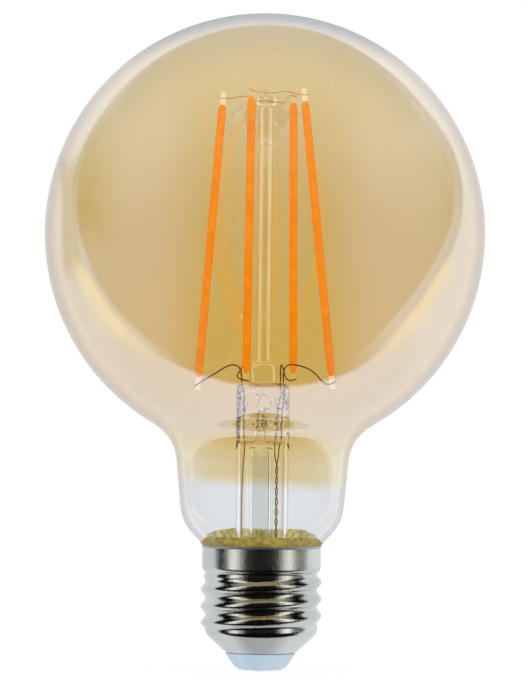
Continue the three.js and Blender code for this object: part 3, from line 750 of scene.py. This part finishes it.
def blow_channel():
    """The exhaust tube's bore, going on up into the pocket."""
    low = PINCH_Z - 1.0
    taper = [(1.5, low), (1.35, PINCH_Z + 1.5), (1.0, 55.0), (0.9, 57.0)]
    return lathe("blow_channel", filled([(0, low), *taper, (0, 57.4)], 0.4), 40, centre=(EXHAUST_X, 0))


def exhaust_tube():
    """A glass tube, closed and round at its lower tip."""
    bore = EXHAUST_RADIUS - 0.8
    tip_centre = exhaust_low[2] + EXHAUST_RADIUS
    top = SQUEEZE_Z + 3.1
    outside_rim = [[EXHAUST_RADIUS, top - 0.3], [EXHAUST_RADIUS - 0.2, top]]
    inside_rim = [[bore + 0.2, top], [bore, top - 0.3]]
    profile = np.concatenate([
        arc(0, tip_centre, EXHAUST_RADIUS, -90, 0, 12),
        outside_rim,
        inside_rim,
        arc(0, tip_centre, bore, 0, -90, 12),
    ])
    piece = lathe("exhaust_tube_glass", filled(profile, 0.6), 56, centre=(EXHAUST_X, 0))
    finish_piece(piece, "exhaust_tube", "stem_glass", stem_glass)


def support_column():
    """A glass tube on a thick foot."""
    foot = column_high[0]
    low, high = column_low[2] - 0.25, column_high[2]
    tube, bore = 1.55, 0.7
    foot_top = low + 4.2
    shoulder = foot - 0.9
    profile = np.concatenate([
        [[0, low], [foot * 0.8, low]],
        bezier((foot * 0.8, low), (foot, low), (foot, low + 0.5), 4)[1:],
        [[foot, foot_top - 1.4]],
        bezier((foot, foot_top - 1.4), (foot, foot_top - 0.1), (shoulder, foot_top), 6)[1:],
        bezier((shoulder, foot_top), (tube, foot_top), (tube, foot_top + 0.8), 5)[1:],
        np.stack([np.full(12, tube), np.linspace(foot_top + 3, high - 0.2, 12)], axis=1),
        [[tube - 0.15, high], [bore + 0.1, high], [bore, high - 0.2], [bore, foot_top + 0.6]],
        arc(0, foot_top + 0.6, bore, 0, -90, 5)[1:],
    ])
    piece = lathe("support_column_glass", filled(profile, 0.5), 48)
    finish_piece(piece, "support_column", "stem_glass", column_glass)


def column_bead():
    """The glass button that closes the column and holds the two upper wires, with a small drop on it."""
    low, high = bead_low[2], bead_high[2]
    edge = 1.0  # the button's edge is round, with this radius
    body_top = low + 2 * edge
    flat = bead_high[0] - edge
    drop = 0.9
    profile = np.concatenate([
        [[0, low]],
        arc(flat, low + edge, edge, -90, 90, 14),
        bezier((flat, body_top), (1.0, body_top), (drop, body_top + 0.5), 6)[1:],
        arc(0, high - drop, drop, 0, 90, 8),
    ])
    piece = lathe("column_bead_glass", profile, 48)
    finish_piece(piece, "column_bead", "stem_glass", bead_glass)


# -------------------------------- filaments

def ends_of(node):
    """The centres of a straight CAD piece's two end faces, in millimetres."""
    points = np.array([v.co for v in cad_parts[node].data.vertices]) / MM
    middle = points[:, 2].mean()
    return points[points[:, 2] < middle].mean(0), points[points[:, 2] > middle].mean(0)


def filament_body(side):
    """A silicone rod whose ends taper onto the metal tabs, slightly uneven along its length."""
    node = f"filament_{side}_body"
    foot, head = ends_of(node)
    length = float(np.linalg.norm(head - foot))
    radius = 0.88
    taper = 1.7
    dimple = 0.15
    shares = np.linspace(0, 1, 6)
    tapering = [(radius * (0.52 + 0.48 * math.sin(k * math.pi / 2)), k * taper) for k in shares]
    profile = [(0, dimple), *tapering]
    for z in np.linspace(taper, length - taper, 60)[1:-1]:
        profile.append((radius * (1 + 0.012 * math.sin(z * 1.7) + 0.01 * math.sin(z * 3.1 + 1)), z))
    profile += [(r, length - z) for r, z in tapering[::-1]]
    profile.append((0, length - dimple))
    piece = lathe(f"filament_{side}_phosphor", profile, 28)
    direction = Vector((head - foot).tolist())
    turn = Vector((0, 0, 1)).rotation_difference(direction)
    piece.data.transform(turn.to_matrix().to_4x4())
    for vertex in piece.data.vertices:
        vertex.co += Vector((foot * MM).tolist())
    finish_piece(piece, node, "phosphor", phosphor_orange)


# -------------------------------- the screw cap

def press_thread(ring):
    """Moves a ring of the plain sheet out to the helical thread pressed into it."""
    radius = np.hypot(ring[:, 0], ring[:, 1])
    angle = np.arctan2(ring[:, 1], ring[:, 0])
    z = ring[:, 2]
    strength = smoothstep(z, THREAD_START - 0.4, THREAD_START + THREAD_GROWTH)
    strength = strength * (1 - smoothstep(z, SKIRT_Z - THREAD_BLEND, SKIRT_Z))
    phase = (z - CREST_Z) / THREAD_PITCH * 2 * math.pi - angle
    swell = (THREAD_CREST - THREAD_ROOT) / 2 * (1 + np.cos(phase)) * strength
    scale = (radius + swell) / np.maximum(radius, 1e-9)
    return ring * np.column_stack([scale, scale, np.ones(len(ring))])


def cap_shell():
    """One sheet: a flat and a cone round the mouth, the threaded wall, the skirt and its rolled lip."""
    low, high = cap_low[2], cap_high[2]
    mouth = (MOUTH_RADIUS, low)
    turn = (THREAD_ROOT - 0.6, THREAD_START - 1.2)
    flat_middle = ((MOUTH_RADIUS + turn[0]) / 2, (low + turn[1]) / 2 - 0.06)
    edge = (THREAD_ROOT - 0.02, THREAD_START - 0.62)
    cone = bezier(turn, edge, (THREAD_ROOT, THREAD_START), 8)
    wall = [[THREAD_ROOT, SKIRT_Z], [THREAD_ROOT + 0.3, SKIRT_Z + 0.35]]
    skirt = [[SKIRT_RADIUS - 0.08, SKIRT_Z + 0.75], [SKIRT_RADIUS, SKIRT_Z + 1.1]]
    roll = ((0, -0.3), (-0.14, -0.14), (0.08, 0.02), (0.16, 0.36), (-0.05, 0.7))
    lip = [[SKIRT_RADIUS + outwards, high + upwards] for outwards, upwards in roll]
    outline = np.concatenate([bezier(mouth, flat_middle, turn, 14), cone, wall, skirt, lip])
    outline = soften(resample(outline, 0.13), 3)
    profile = np.concatenate([outline, inset(outline, SHEET)[::-1]])
    piece = lathe("cap_shell_nickel", profile, 208, warp=press_thread)
    finish_piece(piece, "cap_shell", "nickel_plate", nickel_plate)


def cap_insulator():
    """A plastic bowl that closes the cap's mouth, with a hole for the contact."""
    low, high = insulator_low[2], insulator_high[2]
    base = contact_high[0]
    hole = 1.05
    lip, lip_z = 7.5, 3.75
    neck, plug, cavity = 7.1, 8.2, 5.3
    plug_z, cavity_z = 5.0, 3.3
    foot = (base + 0.7, low + 0.28)
    brim = (lip - 0.05, lip_z - 0.25)
    profile = np.concatenate([
        [[hole, low], [base, low]],
        bezier((base, low), (base + 0.45, low), foot, 5)[1:],
        bezier(foot, (6.3, 1.6), brim, 14)[1:],
        bezier(brim, (lip, lip_z), (lip - 0.2, lip_z + 0.05), 4)[1:],
        [[neck, lip_z + 0.12], [neck, lip_z + 0.85], [plug, plug_z], [plug, high]],
        [[cavity, high], [cavity, cavity_z], [hole, cavity_z]],
    ])
    piece = lathe("cap_insulator_plastic", filled(profile, 0.5), 96)
    finish_piece(piece, "cap_insulator", "insulator", insulator_plastic)


def centre_contact():
    """A flat head with round edges, on a shank."""
    head, low, high = contact_high[0], contact_low[2], contact_high[2]
    shank = 0.9
    middle, top = low + 0.2, low + 0.4
    profile = np.concatenate([
        [[0, low], [head - 0.25, low]],
        bezier((head - 0.25, low), (head, low), (head, middle), 5)[1:],
        bezier((head, middle), (head, top), (head - 0.15, top), 4)[1:],
        [[shank, top], [shank, high - 0.3], [shank - 0.3, high], [0, high]],
    ])
    piece = lathe("centre_contact_metal", filled(profile, 0.5), 72)
    finish_piece(piece, "centre_contact", "contact_metal", contact_metal)


def capping_cement():
    """The cement ring, squeezed out as a wavy bead on the cap's rim and smeared up the glass."""
    low, high = box_of("capping_cement")
    bead = high[0]
    inner = COLLAR_RADIUS + 0.12
    outer = SKIRT_RADIUS - SHEET - 0.1
    rim = cap_high[2] + 0.03
    gap = 0.07
    # Along the neck's cone, this is the height less the radius.
    cone = SHOULDER_Z - (NECK_RADIUS - SHOULDER_ARC) - SHOULDER_ARC * math.sqrt(2) - gap
    segments = 192
    angles = np.linspace(0, 2 * math.pi, segments, endpoint=False)
    level = smoothstep(np.abs(np.sin(angles)), 0.05, 0.95)
    wave = 0.10 * np.sin(angles * 7 + 0.6) + 0.07 * np.sin(angles * 17) + 0.04 * np.sin(angles * 31 + 2)
    reach = bead + 0.3 + (1.6 + wave) * level

    def ring(radius, z):
        radius, z = np.broadcast_to(radius, segments), np.broadcast_to(z, segments)
        return np.column_stack([radius * np.cos(angles), radius * np.sin(angles), z])

    foot = outer + 0.02
    rings = [ring(inner, low[2]), ring(outer, low[2]), ring(outer, rim)]
    for share in np.linspace(0.1, 1, 9):
        radius = foot + (reach - foot) * share
        rings.append(ring(radius, radius + cone - 0.05 * (1 - share) - 0.05 + 0.5 * wave))
    for share in np.linspace(1, 0, 10):
        radius = inner + (reach - inner) * share
        rings.append(ring(radius, radius + cone))
    piece = skin("capping_cement_ring", rings, loop=True)
    finish_piece(piece, "capping_cement", "cement", cement_olive)


# -------------------------------- CAD nodes that stay

def smooth_shading():
    """A geometry group that shades what it is put on smoothly."""
    group = bpy.data.node_groups.new("smooth_shading", "GeometryNodeTree")
    group.interface.new_socket("Geometry", in_out="INPUT", socket_type="NodeSocketGeometry")
    group.interface.new_socket("Geometry", in_out="OUTPUT", socket_type="NodeSocketGeometry")
    entry = group.nodes.new("NodeGroupInput")
    leave = group.nodes.new("NodeGroupOutput")
    smooth = group.nodes.new("GeometryNodeSetShadeSmooth")
    group.links.new(entry.outputs[0], smooth.inputs[0])
    group.links.new(smooth.outputs[0], leave.inputs[0])
    return group


SMOOTH_SHADING = smooth_shading()


def dress(node, material, bevel=None, rounds=0, thinner=0.0):
    """Gives a CAD node its finish.

    bevel rounds its edges, rounds smooths a many-sided wire, and thinner slims it.
    """
    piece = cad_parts[node]
    piece.data.materials.clear()
    piece.data.materials.append(material)
    weld = piece.modifiers.new("weld", "WELD")
    weld.merge_threshold = 1e-6
    if bevel:
        edge = piece.modifiers.new("bevel", "BEVEL")
        edge.width = bevel * MM
        edge.segments = 3
        edge.limit_method = "ANGLE"
    if rounds:
        smooth = piece.modifiers.new("smooth", "SUBSURF")
        smooth.levels = smooth.render_levels = rounds
        shading = piece.modifiers.new("shading", "NODES")
        shading.node_group = SMOOTH_SHADING
    if thinner:
        slim = piece.modifiers.new("slim", "DISPLACE")
        slim.strength = -thinner * MM
        slim.mid_level = 0


def board(name, light, dark, scale):
    return principled(name, mottled(light, dark, scale), varied(0.3, 0.45, 900.0))


def rubber(name, light, dark):
    return principled(name, mottled(light, dark, 900.0), varied(0.4, 0.55, 900.0))


def metal(name, light, dark, scale, smoothest, roughest):
    return principled(name, mottled(light, dark, scale), varied(smoothest, roughest, 900.0), Metallic=1.0)


def hidden_parts():
    circuit_board = board("circuit_board", (0.03, 0.16, 0.06), (0.02, 0.10, 0.04), 500.0)
    radio_board = board("radio_board", (0.02, 0.06, 0.13), (0.012, 0.04, 0.09), 600.0)
    red_rubber = rubber("insulation_red", (0.42, 0.03, 0.02), (0.34, 0.02, 0.015))
    white_rubber = rubber("insulation_white", (0.78, 0.77, 0.73), (0.7, 0.69, 0.65))
    black_plastic = principled(
        "black_plastic",
        mottled((0.02, 0.02, 0.022), (0.012, 0.012, 0.014), 1500.0),
        varied(0.4, 0.6, 1500.0),
        bump=grain(8000.0, 0.2, 0.01 * MM),
    )
    ferrite = principled(
        "ferrite",
        mottled((0.05, 0.05, 0.052), (0.03, 0.03, 0.032), 1200.0),
        varied(0.5, 0.75, 900.0),
        bump=grain(5000.0, 0.4, 0.02 * MM),
    )
    copper = metal("copper_winding", (0.62, 0.26, 0.13), (0.45, 0.17, 0.08), 800.0, 0.25, 0.4)
    can = metal("shield_can", (0.68, 0.70, 0.72), (0.58, 0.60, 0.62), 500.0, 0.2, 0.35)
    ceramic = principled(
        "ceramic",
        mottled((0.62, 0.58, 0.48), (0.52, 0.48, 0.40), 900.0),
        varied(0.5, 0.7, 900.0),
        bump=grain(5000.0, 0.3, 0.01 * MM),
    )
    sleeve = principled(
        "sleeve",
        mottled((0.02, 0.06, 0.17), (0.015, 0.045, 0.13), 300.0),
        varied(0.2, 0.35, 500.0),
    )
    dress("driver_board", circuit_board, bevel=0.1)
    dress("smoothing_capacitor", sleeve, bevel=0.08)
    dress("inductor_core", ferrite, bevel=0.1)
    dress("inductor_coil", copper, bevel=0.2)
    dress("bridge_rectifier", black_plastic, bevel=0.15)
    dress("controller_chip", black_plastic, bevel=0.15)
    dress("fusible_resistor", ceramic)
    dress("radio_board", radio_board, bevel=0.08)
    dress("radio_shield", can, bevel=0.15)
    dress("radio_antenna", ceramic, bevel=0.08)
    dress("neutral_wire", white_rubber, rounds=1)
    dress("live_wire", red_rubber, rounds=1)


def wires_and_tabs():
    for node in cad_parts:
        if node.startswith("anchor_wire"):
            dress(node, painted_glow_wire, rounds=2, thinner=0.07)
        elif node.startswith(("inner_lead", "outer_lead")):
            dress(node, nickel_wire, rounds=2, thinner=0.02)
        elif node.startswith("seal_wire"):
            dress(node, copper_clad, rounds=2, thinner=0.02)
        elif node.endswith("_tab"):
            # The front and back filaments' tabs take the shaded copy, which is painted shade.
            shaded = node.startswith(("filament_front", "filament_back"))
            dress(node, painted_shade_tab_metal if shaded else tab_metal, bevel=0.06)
        elif node.endswith("_strip"):
            dress(node, ceramic_strip, bevel=0.04)


# -------------------------------- floor, light and camera

def pale_floor():
    """A pale round floor that fades to the white of the backdrop, with the lamp's soft contact shadow."""
    level = -0.05
    circle = unit_circle(96)
    radii = (900, 640, 420, 260, 160, 90, 40, 10)
    floor = skin("floor", [level_ring(circle, radius, level) for radius in radii] + [pole(level)])
    material, nodes = new_material("pale_floor")
    distance = nodes.add("ShaderNodeVectorMath", "Value", {"operation": "LENGTH"}, i0=nodes.place())
    fade = nodes.step(distance, 25 * MM, 420 * MM)
    surface = nodes.add("ShaderNodeBsdfDiffuse", Color=(0.93, 0.93, 0.93))
    glow = nodes.add("ShaderNodeEmission", Color=WHITE, Strength=1.04)
    near_lamp = nodes.add("ShaderNodeMixShader", Fac=0.85, i1=surface, i2=glow)
    nodes.result(nodes.add("ShaderNodeMixShader", Fac=fade, i1=near_lamp, i2=glow))
    floor.data.materials.append(material)
    floor.visible_glossy = False
    floor.visible_transmission = False
    floor.visible_diffuse = False


# The middle of the sweep, in the camera's frame, for the bulb's front and for its far wall.
SWEEP_MIDDLE = (-0.061, -0.486, 0.872)
SOFT_SWEEP_MIDDLE = (0.0, -0.5, 0.866)

WARM_EDGE_LIGHT = (2.0, 1.4, 0.75)
LAMP_BOX_LIGHT = (1.2, 1.17, 1.08)
STEM_STRIP_LIGHT = (1.4, 1.5, 1.75)


def room_in_the_globe(nodes, direction, across, over):
    """What the bulb's front mirrors: a sweep behind and below it, and a room in front of it."""
    product, total, step = nodes.product, nodes.total, nodes.step
    right, up, ahead = nodes.split(direction)
    apart = nodes.absolute(across)

    # The sweep fills a cone, with a wing at the right and less of it at the top.
    towards_sweep = nodes.dot(direction, SWEEP_MIDDLE)
    wing = product(step(right, 0.35, 0.95), product(step(up, 0.3, -0.3), step(up, -1.0, -0.5)))
    crown_right = product(step(right, 0.1, 0.45), step(up, 0.25, 0.5, 0.0, 0.06))
    crown = total(step(up, 0.25, 0.6, 0.0, 0.12), crown_right)
    towards_sweep = total(towards_sweep, total(product(wing, 0.16), crown))
    sweep = step(towards_sweep, 0.425, 0.485)

    # The room holds a soft box at each side, a pale ceiling and a ring inside the sweep's edge.
    left = nodes.larger(step(across, -0.82, -0.6), step(over, 0.12, -0.12))
    boxes = product(step(apart, 0.22, 0.52, 0.0, 0.3), left)
    boxes = product(boxes, product(step(across, 0.95, 0.65, 0.4, 1.0), step(over, 0.75, 0.3, 0.35, 1.0)))
    ceiling = total(step(over, -0.3, 0.9, 0.0, 0.07), step(over, 0.7, 0.95, 0.0, 0.15))
    inner_edge = total(towards_sweep, step(right, -0.3, 0.3, -0.06, 0.0))
    ring = product(step(inner_edge, 0.29, 0.34), step(over, 0.3, -0.05, 0.4, 1.0))
    ring = product(ring, step(apart, 0.35, 0.6, 0.0, 0.4))
    room = total(total(ceiling, boxes), ring)

    # The sweep is less white at the crown and along a stretch at the left.
    white = product(step(ahead, 0.7, 0.95, 1.0, 0.9), step(over, 0.75, 0.95, 1.0, 0.62))
    white = product(white, step(right, -0.9, 0.2, 0.92, 1.06))
    stretch = product(step(across, -0.935, -0.89), step(across, 0.0, -0.3))
    stretch = product(stretch, product(step(over, -0.25, -0.08), step(over, 0.45, 0.25)))
    white = product(white, step(stretch, 0.0, 1.0, 1.0, 0.5))
    cast = nodes.blend(step(over, 0.8, 0.95), (1.08, 1.0, 0.95), (0.95, 1.12, 1.3))
    seen = nodes.blend(sweep, nodes.grey(room), nodes.blend(1.0, nodes.grey(white), cast, "MULTIPLY"))

    # The sweep's edge is warm, low at both sides.
    rim = product(step(towards_sweep, 0.39, 0.47), step(towards_sweep, 0.64, 0.5))
    rim = product(rim, product(step(apart, 0.45, 0.7), step(over, -0.05, -0.2)))
    return nodes.blend(product(rim, 0.75), seen, WARM_EDGE_LIGHT)


def room_in_the_cap(nodes, direction):
    """What nickel mirrors: a dark room, a tall lamp box at each side of the camera and the white sweep."""
    product, step = nodes.product, nodes.step
    right, up, ahead = nodes.split(direction)
    level = nodes.absolute(up)
    azimuth = nodes.math("ARCTAN2", nodes.absolute(right), product(ahead, -1.0))

    def turned(low, high):
        return step(azimuth, math.radians(low), math.radians(high))

    lit = product(turned(30, 58), turned(76, 57))
    lit = product(lit, product(step(up, -0.5, -0.2), step(up, 0.97, 0.85)))
    trail = product(step(right, 0.3, 0.6, 0.0, 0.22), turned(50, 62))
    lit = nodes.larger(lit, product(trail, step(level, 0.3, 0.1)))
    sweep = step(nodes.total(ahead, product(up, -0.26)), 0.10, 0.20)
    dark = step(level, 0.05, 0.35, 0.016, 0.004)
    silver = nodes.blend(step(up, -0.8, -0.98), (0.76, 0.80, 0.82), (0.50, 0.53, 0.54))
    seen = nodes.blend(sweep, nodes.grey(dark), silver)
    return nodes.blend(lit, seen, LAMP_BOX_LIGHT)


def studio_world():
    """A white sweep behind and below the lamp and a dim room in front of it, fixed to the camera.

    Directions are in the camera's frame: x to the right, y up and z into the picture. A globe mirrors each
    direction at one place, and across and over are that place, from -1 to 1.
    """
    world = bpy.data.worlds.new("studio")
    bpy.context.scene.world = world
    world.use_nodes = True
    world.cycles.sampling_method = "NONE"
    nodes = Nodes(world.node_tree)
    product, step = nodes.product, nodes.step
    direction = nodes.add("ShaderNodeTexCoord", "Camera")
    direction = nodes.add("ShaderNodeVectorMath", 0, {"operation": "NORMALIZE"}, i0=direction)
    right, up, ahead = nodes.split(direction)
    chord = nodes.math("SUBTRACT", 2.0, product(ahead, 2.0))
    chord = nodes.math("SQRT", nodes.larger(chord, 1e-4))
    over = nodes.math("DIVIDE", up, chord)
    across = nodes.math("DIVIDE", right, chord)
    for_front = room_in_the_globe(nodes, direction, across, over)
    for_metal = room_in_the_cap(nodes, direction)

    # Seen in the bulb's far wall and in the stem: the sweep and the room again, but soft.
    inner = nodes.grey(step(nodes.dot(direction, SOFT_SWEEP_MIDDLE), -0.5, 0.9, 0.55, 1.0))

    # The stem's outside also mirrors a bright strip at each side, which the coating dims to white.
    aside = nodes.absolute(right)
    strips = product(step(aside, 0.35, 0.45), step(aside, 0.85, 0.75))
    strips = product(strips, step(nodes.absolute(up), 0.6, 0.4))
    on_stem = nodes.blend(product(strips, step(ahead, -0.1, 0.1)), inner, STEM_STRIP_LIGHT)

    # Seen through the bulb, it is white nearly everywhere. Through the stem, only near the line of sight.
    through_bulb = nodes.grey(step(ahead, -0.3, 0.8, 0.68, 1.0))
    through_stem = nodes.grey(step(ahead, 0.0, 0.85, 0.8, 1.0))

    # A ray that has passed five faces of glass or more has been inside the stem.
    path = nodes.add("ShaderNodeLightPath").node.outputs

    def past(depth, passes):
        return nodes.math("GREATER_THAN", path[depth], passes - 0.5)

    mirrored = past("Glossy Depth", 1)
    far_side = past("Transmission Depth", 1)
    deeper = past("Transmission Depth", 5)
    near = nodes.blend(path["Is Singular Ray"], for_metal, for_front)
    beyond = nodes.blend(deeper, inner, on_stem)
    seen = nodes.blend(deeper, through_bulb, through_stem)
    result = nodes.blend(mirrored, seen, nodes.blend(far_side, near, beyond))
    soft = nodes.blend(step(up, -1.0, 1.0), (0.85, 0.86, 0.88), WHITE)
    result = nodes.blend(past("Diffuse Depth", 1), result, soft)
    result = nodes.blend(path["Is Camera Ray"], result, WHITE)
    background = nodes.add("ShaderNodeBackground", Color=result, Strength=1.0)
    nodes.result(background, "ShaderNodeOutputWorld")


def camera():
    """Level with the middle of the lamp, a long way off, and rolled a little."""
    distance = 1100 * MM
    height = 69.1 * MM
    picture_height = 151.1 * MM  # what the long side of the picture spans at the lamp
    data = bpy.data.cameras.new("camera")
    data.sensor_width = 36
    data.lens = data.sensor_width * distance / picture_height
    data.clip_end = 20
    viewer = bpy.data.objects.new("camera", data)
    viewer.location = (0.06 * MM, -distance, height)
    viewer.rotation_euler = (math.pi / 2, -math.radians(0.63), 0)
    bpy.context.scene.collection.objects.link(viewer)
    bpy.context.scene.camera = viewer


def render_settings():
    scene = bpy.context.scene
    scene.view_settings.view_transform = "Standard"
    scene.cycles.use_denoising = True
    scene.cycles.max_bounces = 32
    scene.cycles.transmission_bounces = 32
    scene.cycles.glossy_bounces = 12
    scene.cycles.diffuse_bounces = 4
    scene.cycles.transparent_max_bounces = 16


# -------------------------------- the lamp

glass_bulb()
stem_flare()
exhaust_tube()
support_column()
column_bead()
for side in ("left", "front", "back", "right"):
    filament_body(side)
cap_shell()
cap_insulator()
centre_contact()
capping_cement()
wires_and_tabs()
hidden_parts()
pale_floor()
studio_world()
camera()
render_settings()
